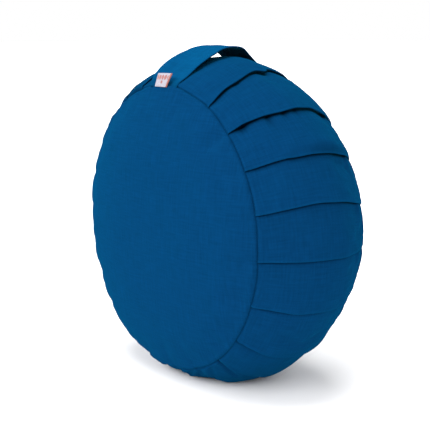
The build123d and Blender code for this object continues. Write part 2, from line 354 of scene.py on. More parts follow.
def store(piece, name, values):
    """Keeps a number for each point of a piece, for its material."""
    layer = piece.data.attributes.new(name, "FLOAT", "POINT")
    layer.data.foreach_set("value", np.asarray(values, np.float32).ravel())


def grid_faces(nu, nv, wrap_u, wrap_v, start=0):
    """Quads over a grid of nu by nv points, numbered from start. Also the grid place of each face corner."""
    quads, corners = [], []
    for i in range(nu if wrap_u else nu - 1):
        for j in range(nv if wrap_v else nv - 1):
            loop = [(i, j), (i + 1, j), (i + 1, j + 1), (i, j + 1)]
            quads.append([start + (a % nu) * nv + (b % nv) for a, b in loop])
            corners.append(loop)
    return quads, corners


def grid_object(name, grid, wrap_u=False, wrap_v=False, uv=None):
    """An object over a grid of points (nu, nv, 3). uv has one more row and column where the grid wraps."""
    nu, nv = grid.shape[:2]
    quads, corners = grid_faces(nu, nv, wrap_u, wrap_v)
    flat = None
    if uv is not None:
        corners = np.array(corners)
        flat = uv[corners[..., 0], corners[..., 1]].reshape(-1, 2)
    return mesh_object(name, grid.reshape(-1, 3), quads, flat)


# ---- the cushion's shape
FRONT, MIDDLE, BACK = (np.radians(a) for a in np.array(PLEATS).T)
N = len(PLEATS)
seam_drift = wave_field(5, 7, 0.16, 0.7)


def band_radius(y):
    """Radius of the band's plain surface."""
    return SEAM_R + SAG * (1 - np.abs(y / HALF) ** BAND_POWER)


def turned(angle):
    """An angle brought to between half a turn back and half a turn on."""
    return (angle + math.pi) % math.tau - math.pi


def along_zip(theta):
    """1 along the zip and 0 past its ends."""
    theta = theta % math.tau
    return ease((theta - ZIP_FROM) / ZIP_FADE) * ease((ZIP_TO - theta) / ZIP_FADE)


def zip_gap(theta, from_seam):
    """How far the cover's cloth stands back from the back seam, along the zip."""
    return ZIP_OPEN * along_zip(theta) * ease(1 - from_seam / ZIP_PULL_REACH)


def seam_wave(theta, side):
    """How far a seam strays from its circle: pulled in a little where each pleat is sewn down."""
    wave = 0.35 * MM * seam_drift(theta + side, 0 * theta)
    for n, a in enumerate(FRONT if side < 0 else BACK):
        wave = wave - (0.5 + 0.4 * math.sin(5 * n)) * MM * bump(turned(theta - a) * SEAM_R, 3.0 * MM)
    if side > 0:
        wave = wave * (1 - along_zip(theta))
    return wave


def settled(theta, side):
    """How far a seam stands out of its circle where the filling has settled."""
    out = 0
    for at, wide, high in SETTLED[side]:
        out = out + high * MM * bump(turned(theta - math.radians(at)), math.radians(wide))
    return out


def swell(theta, s):
    """Height of the band's fuller places."""
    out = 0
    for at, across, wide, wide_across, high in SWELLS:
        round_ = bump(turned(theta - math.radians(at)), math.radians(wide))
        out = out + high * MM * round_ * bump(s - across, wide_across)
    return out


def band_point(theta, y, h):
    """A point of the band at an angle (radians), a place across it and a height over its surface."""
    slope = -SAG * BAND_POWER * np.sign(y) * np.abs(y / HALF) ** (BAND_POWER - 1) / HALF
    norm = np.sqrt(1 + slope**2)
    r = band_radius(y) + h / norm
    for side in (-1, 1):
        from_seam = HALF - side * y
        r = r + ease(1 - from_seam / SEAM_REACH) * seam_wave(theta, side)
        r = r + ease(1 - from_seam / HALF) * settled(theta, side)
    along = y - h * slope / norm
    return np.stack([r * np.sin(theta), along + 0 * theta, AXIS_Z + r * np.cos(theta)], -1)


def face_point(theta, r, h, side):
    """A point of a face: side is -1 at the front and +1 at the back."""
    crown = CROWN * (1 - (r / SEAM_R) ** FACE_POWER)
    slope = FACE_POWER * CROWN * (r / SEAM_R) ** (FACE_POWER - 1) / SEAM_R
    norm = np.sqrt(1 + slope**2)
    out = r + h * slope / norm + ease(1 - (SEAM_R - r) / SEAM_REACH) * seam_wave(theta, side)
    out = out + (r / SEAM_R) ** 2 * settled(theta, side)
    along = side * (HALF + crown + h / norm)
    return np.stack([out * np.sin(theta), along + 0 * theta, AXIS_Z + out * np.cos(theta)], -1)


def disc_map(n):
    """Quads over a unit disc, from a square grid, with 4 n points on its rim in order of angle."""
    line = np.linspace(-1, 1, n + 1)
    a, b = np.meshgrid(line, line, indexing="ij")
    wide = np.abs(a) > np.abs(b)
    safe_a = np.where(a == 0, 1, a)
    safe_b = np.where(b == 0, 1, b)
    r = np.where(wide, a, b)
    angle = np.where(wide, (math.pi / 4) * (b / safe_a), math.pi / 2 - (math.pi / 4) * (a / safe_b))
    angle = np.where(r < 0, angle + math.pi, angle) % math.tau
    r = np.abs(r).ravel()
    angle = angle.ravel()
    quads, _ = grid_faces(n + 1, n + 1, False, False)
    rim = np.flatnonzero(r > 1 - 1e-9)
    rim = rim[np.argsort(angle[rim])]
    return r, angle, quads, rim


# ---- cloth simulation of the filled cover
def simulate_cover():
    """Inflates a plain drum with held seams. Returns where its points were and how far they moved."""
    r, angle, quads, rim = disc_map(SIM_RIM // 4)
    points, faces, held = [], [], []
    count = 0
    for side in (-1, 1):
        disc = face_point(angle, r * SEAM_R, 0.0, side)
        points.append(disc)
        turn = quads if side > 0 else [q[::-1] for q in quads]
        faces += [[i + count for i in q] for q in turn]
        held.append(rim + count)
        count += len(disc)
    rows = np.linspace(-HALF, HALF, 34)[1:-1]
    theta = angle[rim]
    band = band_point(theta[:, None], rows[None, :], 0.0)
    points.append(band.reshape(-1, 3))
    nv = len(rows)
    for i in range(SIM_RIM):
        j = (i + 1) % SIM_RIM
        for k in range(nv - 1):
            a, b = count + i * nv + k, count + j * nv + k
            faces.append([a, b, b + 1, a + 1])
        first, last = count + i * nv, count + i * nv + nv - 1
        first_next, last_next = count + j * nv, count + j * nv + nv - 1
        faces.append([held[0][i], held[0][j], first_next, first])
        faces.append([last, last_next, held[1][j], held[1][i]])
    points = np.concatenate(points)
    drum = mesh_object("sim_drum", points, faces)
    pins = drum.vertex_groups.new(name="seams")
    pins.add([int(i) for i in np.concatenate(held)], 1.0, "REPLACE")
    foot = np.flatnonzero(points[:, 2] < 2 * MM)
    pins.add([int(i) for i in foot], 0.6, "REPLACE")
    cloth = drum.modifiers.new("cloth", "CLOTH")
    for key, value in SIM_SETTINGS.items():
        setattr(cloth.settings, key, value)
    cloth.settings.effector_weights.gravity = 0
    cloth.collision_settings.use_collision = False
    cloth.collision_settings.use_self_collision = False
    scene = bpy.context.scene
    cloth.point_cache.frame_start = 1
    cloth.point_cache.frame_end = SIM_FRAMES
    for f in range(1, SIM_FRAMES + 1):
        scene.frame_set(f)
    shape = drum.evaluated_get(bpy.context.evaluated_depsgraph_get()).to_mesh()
    after = np.empty(len(points) * 3)
    shape.vertices.foreach_get("co", after)
    moved = after.reshape(-1, 3) - points
    scene.frame_set(1)
    bpy.data.objects.remove(drum)
    size = np.linalg.norm(moved, axis=1, keepdims=True)
    z = points[:, 2:]
    free = 0.3 + 0.7 * ease(z / SIM_HELD_REACH) * ease((2 * AXIS_Z - z) / SIM_HELD_REACH)
    return points, moved * (SIM_CAP / np.maximum(size, SIM_CAP)) * free


sim_points, sim_moved = simulate_cover()
sim_tree = kdtree.KDTree(len(sim_points))
for index, point in enumerate(sim_points):
    sim_tree.insert(point, index)
sim_tree.balance()
print("cover simulation: mean move", 1000 * np.linalg.norm(sim_moved, axis=1).mean(), "mm, most",
      1000 * np.linalg.norm(sim_moved, axis=1).max(), "mm")


def free_of_zip(theta, from_seam):
    """How far the cloth follows the simulation near the back seam: not at all beside the zip."""
    return 1 - along_zip(theta) * ease(2.0 - from_seam / ZIP_HELD_REACH)


def settle(points, base, share=1.0):
    """Moves points as the simulated cover moved at base, then lays them flat where they meet the floor."""
    shape = points.shape
    p = points.reshape(-1, 3).copy()
    share = np.broadcast_to(share, shape[:-1]).ravel()
    for i, b in enumerate(base.reshape(-1, 3)):
        total, weight = np.zeros(3), 0.0
        for _, index, distance in sim_tree.find_n(b, 5):
            w = 1 / (distance + 0.5 * MM) ** 2
            total += w * sim_moved[index]
            weight += w
        p[i] += share[i] * total / weight
    z = p[:, 2]
    p[:, 2] = np.where(z < FLOOR_NEAR, 0.5 * (z + np.sqrt(z**2 + FLOOR_SOFT**2)), z)
    return p.reshape(shape)


# ---- pleated band
def band_rows():
    """Places across the band, close together at the seams."""
    near = np.array([0, 0.4, 0.8, 1.2, 1.8, 2.6, 3.6, 4.8, 6.6, 9.0]) * MM
    inside = np.linspace(-HALF + 12 * MM, HALF - 12 * MM, 46)
    return np.concatenate([-HALF + near, inside, HALF - near[::-1]])


def fold_angle(i, y):
    """Angle of fold i across the band, with the small waviness of a hand-pressed fold."""
    turn = (i // N) * math.tau
    k = i % N
    s = y / HALF
    curve = FRONT[k] * (s * (s - 1) / 2) + MIDDLE[k] * (1 - s * s) + BACK[k] * (s * (s + 1) / 2)
    r = np.random.default_rng(100 + k)
    wavy = 0
    for n in (1, 2, 3):
        wavy = wavy + r.normal() * 0.45 * MM / n * np.sin(math.pi * n * (s + 1) * 1.3 + r.uniform(0, 6))
    for own, at, wide, on in WIGGLES:
        if k == own:
            wavy = wavy + on * MM * bump(s - at, wide)
    return curve + turn + wavy * (1 - s**8) / RIM_R


def pleat_gap(i, y):
    """Opening of fold i's mouth: nearly closed at the seams, and wider in one or two pockets."""
    k = i % N
    r = np.random.default_rng(200 + k)
    s = y / HALF
    gap = (1.1 + r.uniform(0.0, 0.5)) * MM
    for _ in range(2):
        gap = gap + r.uniform(0.1, 0.9) * MM * bump(s - r.uniform(-0.75, 0.75), r.uniform(0.12, 0.3))
    for own, at, wide, more in POCKETS:
        if k == own:
            gap = gap + more * MM * bump(s - at, wide)
    return gap * (1 - np.abs(s) ** 12) * (1 - pressed_flat(k, s)) + 0.15 * MM


def pressed_flat(k, s):
    """How flat fold k lies near the front seam."""
    return FLAT_FOLDS.get(k, 0.0) * ease(0.5 - s)


def pocket_depth(y):
    """How far a pleat reaches under itself. It opens where the band is wider than its seams."""
    opened = math.pi * (band_radius(y) - SEAM_R) / N
    return PLEAT_UNDER - opened


ripple = wave_field(11, 9, 38 * MM, 120 * MM)
creases = wave_field(12, 12, 14 * MM, 34 * MM)


def panel_height(i, t, y, width):
    """Height of panel i, from under the fold before it (t = 0) to its own fold (t = 1)."""
    k = i % N
    r = np.random.default_rng(300 + k)
    s = y / HALF
    rise = FOLD_T * (1 - 0.25 * s**6) + pleat_gap(i, y)
    puff = r.uniform(-0.7, 0.5) * MM * (1 - s**4)
    h = PANEL_START + rise * t**1.2 + puff * 4 * t * (1 - t) * (1 - 0.3 * s)
    h = h - MOUTH * bump(width * t, MOUTH_REACH) * (1 - s**10)
    for own, at, wide, high in PUFFS:
        if k == own:
            h = h + high * MM * bump(s - at, wide) * np.sin(math.pi * t) ** 0.8
    before_fold, down = width * (1 - t), width * t
    for own, at, wide, high in RIDGES:
        if k == own:
            side = np.where(before_fold < RIDGE_AT, 5 * MM, 11 * MM)
            h = h + high * MM * bump(s - at, wide) * bump(before_fold - RIDGE_AT, side)
    for own, at, thin, reach, deep in DIMPLES:
        if k == (own + 1) % N:
            h = h - deep * MM * bump(y - at * HALF, thin * MM) * bump(down, reach * MM)
    for _ in range(r.integers(2, 5)):
        at, reach, thin = r.uniform(-0.85, 0.85) * HALF, r.uniform(7, 16) * MM, r.uniform(2.0, 3.8) * MM
        lean = r.uniform(-0.25, 0.25)
        h = h - r.uniform(0.1, 0.4) * MM * bump(y - at - lean * down, thin) * bump(down, reach)
    over_tape = ease((y - HALF + ZIP_TAPE_REACH) / (4 * MM))
    lowest = TAPE_CLEAR + TAPE_RISE * ease((HALF - y - 5 * MM) / (6 * MM))
    return h + over_tape * np.maximum(lowest - h, 0)


def creased(theta, y):
    """How much the pressed creases lower the band."""
    h = 0
    for from_angle, from_s, to_angle, to_s, thin, deep in CREASES:
        a, b = turned(theta - math.radians(from_angle)) * RIM_R, y - from_s * HALF
        run, across = math.radians(to_angle - from_angle) * RIM_R, (to_s - from_s) * HALF
        share = np.clip((a * run + b * across) / (run**2 + across**2), 0, 1)
        away = np.hypot(a - share * run, b - share * across)
        h = h - deep * MM * (bump(away, thin * MM) - 0.35 * bump(away - 2 * thin * MM, thin * MM))
    return h


def seam_profile(d, zipped=0.0):
    """Height of the cover beside a seam: a narrow valley, shallower along the zip, and a roll of cloth."""
    valley = GROOVE * (1 - 0.65 * zipped) * bump(d, SEAM_WIDTH)
    return -valley + 0.55 * MM * bump(d - 3.4 * MM, 1.8 * MM)


def panel_shade(i, t, y, width, middle):
    """How dark the cloth of panel i looks: darkest in the mouth of the fold before it, dim in its dimples."""
    k = i % N
    s = y / HALF
    down, before_fold = width * t, width * (1 - t)
    hanging = bump(fold_angle(i - 1, y) - math.radians(FOLDS_HANG_AT), math.radians(30))
    wider = np.clip((pleat_gap(i - 1, y) - 1.5 * MM) / MM, -0.3, 1.0)
    dark = FOLD_SHADE * (1 - pressed_flat((i - 1) % N, s)) * (1 + 0.35 * wider)
    shade = 1 - np.clip(dark, 0, 0.93) * bump(t * middle, SHADE_REACH * (1 + 1.7 * hanging))
    for own, at, wide, high in RIDGES:
        if k == own:
            shade = shade - 0.085 * high * bump(s - at, wide) * bump(before_fold - 2 * MM, 4.5 * MM)
    for own, at, thin, reach, deep in DIMPLES:
        if k == (own + 1) % N:
            shade = shade - 0.09 * deep * bump(y - at * HALF, thin * MM) * bump(down - 1.5 * MM, reach * MM)
    return shade


def under_strap(theta, y):
    """How dark the band looks beneath the strap, which keeps the light off it: 1 in the open."""
    at, wide, place, wide_across, loss = BESIDE_STRAP
    beside = loss * bump(turned(theta - math.radians(at)), math.radians(wide))
    beside = beside * bump(y / HALF - place, wide_across)
    beneath = UNDER_STRAP_SHADE * covered_by_strap(theta, y) * ease((HALF - np.abs(y)) / (6 * MM))
    return (1 - beneath) * (1 - beside)


def covered_by_strap(theta, y):
    """1 on the band beneath the strap, and 0 a little way out from its edges."""
    x = RIM_R * np.sin(theta) - STRAP_X + y * math.tan(STRAP_SKEW)
    return ease((STRAP_W / 2 + 4 * MM - np.abs(x)) / (11 * MM)) * (np.cos(theta) > 0)


def seam_shade(d):
    """How dark the cloth looks down in a seam: 1 in the open."""
    return 1 - (1 - SEAM_SHADE) * bump(d, 0.65 * MM)


def pleat(i, y):
    """Panel i, its fold and the cloth hidden under it: for each column of points its angle, height, wear and
    painted highlight, shade and length along the cloth. Also the length of cloth used."""
    before, own = fold_angle(i - 1, y), fold_angle(i, y)
    width = (own - before) * RIM_R
    middle = float(width[0, width.shape[1] // 2])
    visible = int(np.clip(middle / (2.8 * MM), 12, 40))
    near, far = MOUTH_STEPS / middle, 1 - FOLD_STEPS / middle
    t = np.concatenate([near, np.linspace(near[-1], far[0], visible)[1:-1], far])[:, None]
    h = panel_height(i, t, y, width)
    plain = np.ones_like(y)
    # wear and a painted highlight along each fold's edge, where the cloth catches the light
    panel = (before + t * (own - before), h, bump((1 - t) * middle, 1.4 * MM) * plain,
             panel_shade(i, t, y, width, middle), t[:, 0] * middle)
    # round the fold
    top, below = h[-1:], panel_height(i + 1, np.zeros((1, 1)), y, width)
    thick = FOLD_T * (1 - 0.25 * (y / HALF) ** 6)
    turn = np.radians([55, 20, -20, -55])[:, None]
    radius = thick / 2
    # the fold itself carries the full wear and painted highlight, and painted shade on its underside
    fold = (own + radius * np.cos(turn) / RIM_R, top - radius + radius * np.sin(turn),
            plain * np.ones_like(turn), np.array([[1.0], [0.8], [0.35], [0.2]]) * plain,
            middle + np.linspace(0.3, 1.2, 4) * MM)
    # back under the panel, then forward again along the next one
    depth = pocket_depth(y)
    d = np.linspace(0, 1, 6)[:, None]
    floor = below - 0.25 * MM * d
    gap = (top - thick - below) * (1 - d) ** 1.3 + 0.12 * MM * d
    back = d[::-1][:-1]
    inwards = np.concatenate([d * depth, depth + 0.35 * MM, back * depth])
    angle = own - inwards / RIM_R
    high = np.concatenate([floor + gap, floor[-1:] + 0.06 * MM, below - 0.25 * MM * back])
    none = 0 * angle
    hidden = (angle, high, none, none + HIDDEN_SHADE,
              middle + 1.5 * MM + np.linspace(0, 2 * PLEAT_UNDER, len(angle)))
    columns = [np.concatenate(parts) for parts in zip(panel, fold, hidden)]
    return columns, middle + 2 * PLEAT_UNDER + 2 * MM


def band_outside(y):
    """The band's outer side at places y across it: angles, points, wear with painted highlight, shade and
    length along the cloth.
    """
    pleats, used = [], 0.0
    for i in range(N):
        (theta, h, wear_and_highlight, shade, along), length = pleat(i, y)
        pleats.append((theta, h, wear_and_highlight, shade, used + along))
        used += length
    theta, h, wear_and_highlight, shade, along = [np.concatenate(parts) for parts in zip(*pleats)]
    from_seam = HALF - np.abs(y)
    shade = shade * seam_shade(from_seam) * under_strap(theta, y)
    h = h + seam_profile(from_seam, along_zip(theta) * (y > 0))
    h = h + 0.25 * MM * ripple(theta * RIM_R, y) + 0.12 * MM * creases(theta * RIM_R, y)
    h = h + creased(theta, y) + swell(theta, y / HALF)
    h = h - STRAP_DENT * covered_by_strap(theta, y) * ease((np.abs(y) / HALF - 0.35) / 0.3)
    # the rear edge stands back along the zip
    place = y - np.where(y < 0, 0.0, zip_gap(theta, HALF - y))
    base = band_point(theta, place, 0 * h)
    points = settle(band_point(theta, place, h), base, free_of_zip(theta, HALF - y))
    return theta, points, wear_and_highlight, shade, np.append(along, used)


def band_lining(theta):
    """The band's inner side, smooth, under all the folds, at the given angles."""
    spread = np.linspace(0, 1, len(theta), endpoint=False)
    theta = np.maximum.accumulate(theta)
    theta = (0.2 * (theta[0] + spread * math.tau) + 0.8 * theta)[:, None]
    y = np.linspace(HALF - 1.2 * MM, -HALF + 1.2 * MM, LINING_ROWS)[None, :]
    y = y - LINING_OPEN * np.where(y > 0, zip_gap(theta, HALF - y), 0)
    base = band_point(theta, y, 0 * y)
    points = settle(band_point(theta, y, -SKIN_DEPTH), base, free_of_zip(theta, HALF - y))
    points[..., 2] = np.maximum(points[..., 2], LINING_LOWEST)
    return points


def pleated_band():
    """The band as a closed ring: its pleated outside and its lining."""
    rows = band_rows()
    theta, outside, wear_and_highlight, shade, along = band_outside(rows[None, :])
    lining = band_lining(theta[:, len(rows) // 2])
    across = np.concatenate([rows, np.linspace(HALF, -HALF, LINING_ROWS + 1) + 2 * HALF])
    uv = np.stack(np.meshgrid(along, across, indexing="ij"), -1)
    piece = grid_object("pleated_band", np.concatenate([outside, lining], 1), True, True, uv)
    inside = np.ones((len(theta), LINING_ROWS))
    store(piece, "wear_and_highlight", np.concatenate([wear_and_highlight, 0 * inside], 1))
    store(piece, "shade", np.concatenate([shade, inside], 1))
    return piece


# ---- faces
face_ripple = wave_field(21, 8, 60 * MM, 170 * MM)


def face_height(theta, r, side):
    """Soft unevenness of a face: puckers that run in from the seam at the pleats, and a few faint creases."""
    gen = np.random.default_rng(400 + side)
    edge = SEAM_R - r
    h = 0.5 * MM * face_ripple(r * np.sin(theta) + side, r * np.cos(theta)) * ease(edge / (40 * MM))
    seam_angles = FRONT if side < 0 else BACK
    for a in list(seam_angles) + list(gen.uniform(0, math.tau, 16)):
        deep = gen.uniform(0.25, 1.05) * MM
        thin, reach = gen.uniform(3, 7) * MM, gen.uniform(8, 26) * MM
        h = h - deep * bump(turned(theta - a) * r, thin) * np.exp(-edge / reach)
    if side < 0:
        a, b = r * np.sin(theta) - FACE_CREASE[0], r * np.cos(theta) - FACE_CREASE[1]
        b = b + 0.12 * a
        h = h + 0.8 * MM * bump(a, 13 * MM) * (bump(b, 2.6 * MM) - bump(b + 4.6 * MM, 2.6 * MM))
    return h + seam_profile(edge, along_zip(theta) * (side > 0))


def face_panel(name, side):
    """A round face as a closed shell of cloth: a disc of quads, then rings that crowd towards the seam."""
    r, angle, quads, rim = disc_map(SIM_RIM // 4)
    radii = SEAM_R - FACE_RINGS
    ring_theta = np.repeat(angle[rim][:, None], len(radii), 1)
    ring_r = np.repeat(radii[None, :], len(rim), 0)
    theta = np.concatenate([angle, ring_theta.ravel()])
    radius = np.concatenate([r * SEAM_R * FACE_DISC, ring_r.ravel()])
    gap = zip_gap(theta, SEAM_R - radius) if side > 0 else 0
    radius = radius - gap
    count = len(angle)
    nr = len(radii)
    outside_faces = [list(q) for q in quads]
    n = len(rim)
    for i in range(n):
        j = (i + 1) % n
        outside_faces.append([rim[i], rim[j], count + j * nr, count + i * nr][::-1])
        for k in range(nr - 1):
            a, b = count + i * nr + k, count + j * nr + k
            outside_faces.append([a, b, b + 1, a + 1][::-1])
    h = face_height(theta, radius + gap, side)
    base = face_point(theta, radius, 0 * h, side)
    share = free_of_zip(theta, SEAM_R - radius) if side > 0 else 1.0
    outer = settle(face_point(theta, radius, h, side), base, share)
    inner = settle(face_point(theta, radius, h - CLOTH, side), base, share)
    flat = np.stack([radius * np.sin(theta), radius * np.cos(theta)], -1)
    seam = [count + i * nr + nr - 1 for i in range(n)]
    piece = shell(name, outer, inner, outside_faces, [seam], flat)
    store(piece, "shade", np.concatenate([seam_shade(SEAM_R - radius - gap), np.ones(len(radius))]))
    return piece


def shell(name, outer, inner, faces, rims, flat=None):
    """A closed piece of cloth from its two sides, which have the same faces, joined round their rims."""
    total = len(outer)
    faces = faces + [[i + total for i in f[::-1]] for f in faces]
    for rim in rims:
        for a, b in zip(rim, rim[1:] + rim[:1]):
            faces.append([a, b, b + total, a + total])
    uv = None
    if flat is not None:
        uv = np.concatenate([flat, flat])[np.concatenate([np.array(f) for f in faces])]
    return mesh_object(name, np.concatenate([outer, inner]), faces, uv)


# ---- inner bag and its filling
bag_low, bag_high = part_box("inner_bag_band")
BAG_R = (bag_high[0] - bag_low[0]) / 2 - BAG_SLACK
BAG_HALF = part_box("inner_bag_back")[1][1] - BAG_SLACK
BAG_SEAM = bag_high[1]
bag_ripple = wave_field(51, 10, 0.05, 0.16)


def bag_point(theta, r, y, inwards=0.0):
    """A point of the bag, laid flat where it rests on the bottom of the cover."""
    size = np.sqrt(r**2 + y**2)
    r, y = r * (1 - inwards / size), y * (1 - inwards / size)
    z = np.maximum(AXIS_Z + r * np.cos(theta), BAG_BOTTOM + inwards)
    return np.stack([r * np.sin(theta), y + 0 * theta, z], -1)


def gathers(theta, from_seam):
    """Small folds that run away from a bag seam."""
    return 0.9 * MM * bag_ripple(theta, 0 * theta) * bump(from_seam, 16 * MM)


def bag_radius(y):
    """Radius of the bag at a place across it."""
    return BAG_R * (1 - np.abs(y / BAG_HALF) ** BAG_POWER) ** (1 / BAG_POWER)


def bag_end(name, side):
    """A round end of the bag: side is -1 at the front and +1 at the back."""
    r, angle, quads, rim = disc_map(48)
    radius = r * bag_radius(BAG_SEAM)
    y = side * BAG_HALF * (1 - (radius / BAG_R) ** BAG_POWER) ** (1 / BAG_POWER)
    y = y + side * gathers(angle, bag_radius(BAG_SEAM) - radius)
    outer, inner = bag_point(angle, radius, y), bag_point(angle, radius, y, BAG_CLOTH)
    return shell(name, outer, inner, quads, [list(rim)])


def bag_band(name):
    """The strip between the bag's two ends."""
    nu, nv = 288, 41
    theta = np.repeat(np.linspace(0, math.tau, nu, endpoint=False)[:, None], nv, 1)
    y = np.repeat(np.linspace(-BAG_SEAM, BAG_SEAM, nv)[None, :], nu, 0)
    r = bag_radius(y) + gathers(theta, BAG_SEAM - np.abs(y))
    quads, _ = grid_faces(nu, nv, True, False)
    sides = [bag_point(theta, r, y, inwards).reshape(-1, 3) for inwards in (0.0, BAG_CLOTH)]
    rims = [[i * nv + edge for i in range(nu)] for edge in (0, nv - 1)]
    return shell(name, sides[0], sides[1], quads, rims)


def filling():
    """The heap of hulls, pressed into the shape of its bag, with the hulls showing as small lumps."""
    nu, nv = 260, 120
    theta = np.repeat(np.linspace(0, math.tau, nu, endpoint=False)[:, None], nv, 1)
    tilt = np.repeat(np.linspace(-1, 1, nv)[None, :], nu, 0) * math.radians(89.2)
    power = 2 / BAG_POWER
    r = (BAG_R - 2 * BAG_CLOTH) * np.cos(tilt) ** power
    y = (BAG_HALF - 2 * BAG_CLOTH) * np.sign(tilt) * np.abs(np.sin(tilt)) ** power
    points = bag_point(theta, r, y, BAG_CLOTH).reshape(-1, 3)
    for i, p in enumerate(points):
        out = p - (0, 0, AXIS_Z)
        points[i] = p - out / np.linalg.norm(out) * HULL_RELIEF * noise.voronoi(Vector(p) / HULL)[0][0]
    quads, _ = grid_faces(nu, nv, True, False)
    ends = [[i * nv + edge for i in range(nu)] for edge in (0, nv - 1)]
    return mesh_object("hull_heap", points, quads + ends)


# ---- zip coils
FACE_ARC_R = (SEAM_R**2 + CROWN**2) / (2 * CROWN)
BAND_ARC_R = (HALF**2 + SAG**2) / (2 * SAG)
FACE_TILT, BAND_TILT = math.asin(SEAM_R / FACE_ARC_R), math.asin(HALF / BAND_ARC_R)
SEAM_TILT = (math.pi / 2 - FACE_TILT + BAND_TILT) / 2  # of the way out of the back seam, from the radius


def on_seam(theta, w, n):
    """A point beside the back seam: w along the seam's own plane towards the band, and n outwards."""
    r = SEAM_R + w * math.sin(SEAM_TILT) + n * math.cos(SEAM_TILT)
    y = HALF - w * math.cos(SEAM_TILT) + n * math.sin(SEAM_TILT)
    return np.stack(np.broadcast_arrays(r * np.sin(theta), y, AXIS_Z + r * np.cos(theta)), -1)


def tube(line, section, start=0):
    """Quads and end faces over the rings of a tube whose points are numbered from start."""
    quads, _ = grid_faces(line, section, False, True, start)
    last = start + (line - 1) * section
    return quads + [list(range(start, start + section)), list(range(last, last + section))]


def coil(name, side):
    """One half of the zip: a flat nylon helix along the back seam round a cord. side is -1 on the face."""
    turns = round((COIL_TO - COIL_FROM) * SEAM_R / COIL_PITCH)
    step = np.arange(turns * TURN_STEPS + 1) / TURN_STEPS
    theta = COIL_FROM + (COIL_TO - COIL_FROM) * step / turns
    phase = math.tau * step + (0 if side > 0 else math.pi)
    parted = ease(1.8 - np.abs(theta - PARTED_AT) / math.radians(0.8))
    w = COIL_MIDDLE[0] + 0.1 * MM * parted + COIL_REACH[0] * (1 - 0.55 * parted) * np.cos(phase)
    line = on_seam(theta, side * w, COIL_MIDDLE[1] + COIL_REACH[1] * np.sin(phase))
    ahead = np.gradient(line, axis=0)
    ahead /= np.linalg.norm(ahead, axis=1, keepdims=True)
    across = np.cross(ahead, np.stack([np.cos(theta), 0 * theta, -np.sin(theta)], -1))
    across /= np.linalg.norm(across, axis=1, keepdims=True)
    up = np.cross(across, ahead)
    turn = (np.arange(WIRE_SIDES) * math.tau / WIRE_SIDES)[None, :, None]
    wire = line[:, None] + COIL_WIRE * (np.cos(turn) * across[:, None] + np.sin(turn) * up[:, None])
    theta = np.linspace(COIL_FROM, COIL_TO, CORD_STEPS)[:, None]
    turn = np.arange(CORD_SIDES) * math.tau / CORD_SIDES
    cord = on_seam(theta, side * COIL_MIDDLE[0] + CORD_REACH[0] * np.cos(turn),
                   COIL_MIDDLE[1] + CORD_REACH[1] * np.sin(turn))
    faces = tube(len(line), WIRE_SIDES) + tube(CORD_STEPS, CORD_SIDES, len(line) * WIRE_SIDES)
    return mesh_object(name, np.concatenate([wire.reshape(-1, 3), cord.reshape(-1, 3)]), faces)


# ---- strap
def smooth_through(points, x):
    """A smooth curve through points and its slope, at x. Each span is a cubic."""
    px, py = np.array(points, float).T
    slope = np.gradient(py, px)
    k = np.clip(np.searchsorted(px, x) - 1, 0, len(px) - 2)
    w = px[k + 1] - px[k]
    t = (x - px[k]) / w
    a, b = slope[k] * w, slope[k + 1] * w
    rise = py[k + 1] - py[k]
    value = py[k] + t * (a + t * (3 * rise - 2 * a - b + t * (a + b - 2 * rise)))
    return value, (a + t * (2 * (3 * rise - 2 * a - b) + 3 * t * (a + b - 2 * rise))) / w


def strap_section():
    """Places across the strap and heights over its middle, round its section, with stitched edges."""
    half, ht = STRAP_W / 2, STRAP_T / 2
    top = np.linspace(-1, 1, 49)[1:-1]
    x = top * (half - ht)
    from_edge = half - np.abs(x)
    stitched = -0.35 * MM * bump(from_edge - TURNED_EDGE, 0.7 * MM)
    z = ht - 0.35 * MM * ease((from_edge - TURNED_EDGE) / (2 * MM)) + stitched
    turn = np.radians([80, 50, 20, -20, -50, -80])
    right = np.stack([half - ht + ht * np.cos(turn), ht * np.sin(turn)], -1)
    left = np.stack([-(half - ht) - ht * np.cos(turn), -ht * np.sin(turn)], -1)
    return np.concatenate([np.stack([x, z], -1), right, np.stack([x[::-1], 0 * x - ht], -1), left])


